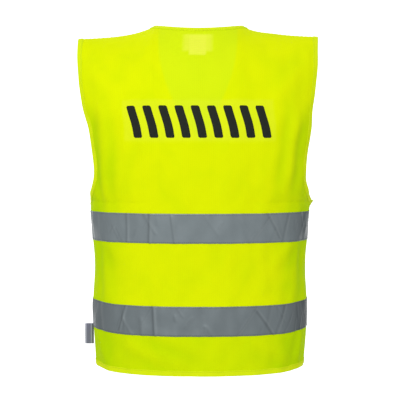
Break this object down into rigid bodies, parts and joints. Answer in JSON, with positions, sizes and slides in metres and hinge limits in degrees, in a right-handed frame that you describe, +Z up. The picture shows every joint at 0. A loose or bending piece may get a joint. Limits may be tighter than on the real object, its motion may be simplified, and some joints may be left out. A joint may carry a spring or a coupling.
{
  "type": "high visibility vest",
  "caption": "Fluorescent yellow sleeveless vest with V neck, bound edges, reflective bands round the body and a hook and loop front that opens.",
  "frame": {"origin": "midway between the two points where the shoulder seams meet the neck, from which the vest hangs", "axes": "+Z up, the wearer faces -Y with the back panel towards +Y, and the wearer's left is +X"},
  "size_m": [0.4394, 0.2704, 0.6283],
  "materials": {
    "knit_fabric": "fluorescent yellow warp knit, matte",
    "reflective_tape": "silver-grey retroreflective tape, satin",
    "binding_tape": "fluorescent yellow folded binding, matte",
    "seam_allowance": "overlocked fabric edge, matte",
    "hook_tape": "woven tape with plastic hooks",
    "loop_tape": "woven tape with soft loops",
    "label_weave": "white woven label",
    "tag_weave": "slate woven tag",
    "print_ink": "black transfer print, matte"
  },
  "bodies": {
    "vest_body": {"back_panel": "knit_fabric", "left_front_side_panel": "knit_fabric", "right_front_side_panel": "knit_fabric", "back_upper_band": "reflective_tape", "back_lower_band": "reflective_tape", "left_side_upper_band": "reflective_tape", "left_side_lower_band": "reflective_tape", "right_side_upper_band": "reflective_tape", "right_side_lower_band": "reflective_tape", "neck_binding": "binding_tape", "left_armhole_binding": "binding_tape", "right_armhole_binding": "binding_tape", "back_hem_binding": "binding_tape", "left_shoulder_seam": "seam_allowance", "right_shoulder_seam": "seam_allowance", "left_side_seam": "seam_allowance", "right_side_seam": "seam_allowance", "neck_label": "label_weave", "back_print": "print_ink"},
    "left_front": {"left_front_flap_panel": "knit_fabric", "left_flap_upper_band": "reflective_tape", "left_flap_lower_band": "reflective_tape", "left_front_edge_binding": "binding_tape", "left_front_hem_binding": "binding_tape", "left_upper_hook_strip": "hook_tape", "left_lower_hook_strip": "hook_tape"},
    "right_front": {"right_front_flap_panel": "knit_fabric", "right_flap_upper_band": "reflective_tape", "right_flap_lower_band": "reflective_tape", "right_front_edge_binding": "binding_tape", "right_front_hem_binding": "binding_tape", "right_upper_loop_strip": "loop_tape", "right_lower_loop_strip": "loop_tape"},
    "hanging_label": {"care_label": "label_weave"},
    "seam_tag": {"side_tag": "tag_weave"}
  },
  "joints": [
    {"name": "left_front_open", "type": "hinge", "parent": "vest_body", "child": "left_front", "pos_m": [0.0641, -0.1359, -0.1406], "axis": [-0.1398, -0.0561, 0.9886], "range_deg": [0, 120]},
    {"name": "right_front_open", "type": "hinge", "parent": "vest_body", "child": "right_front", "pos_m": [-0.0641, -0.1359, -0.1406], "axis": [-0.1398, 0.0561, -0.9886], "range_deg": [0, 66]},
    {"name": "care_label_flip", "type": "hinge", "parent": "vest_body", "child": "hanging_label", "pos_m": [0, 0.0678, -0.0232], "axis": [-1, 0, 0], "range_deg": [0, 120]},
    {"name": "side_tag_swing", "type": "hinge", "parent": "vest_body", "child": "seam_tag", "pos_m": [0.1987, 0, -0.569], "axis": [0, 0, 1], "range_deg": [-75, 75]}
  ],
  "couplings": [
    {"joint": "right_front_open", "follows": "left_front_open", "ratio": 0.55}
  ]
}
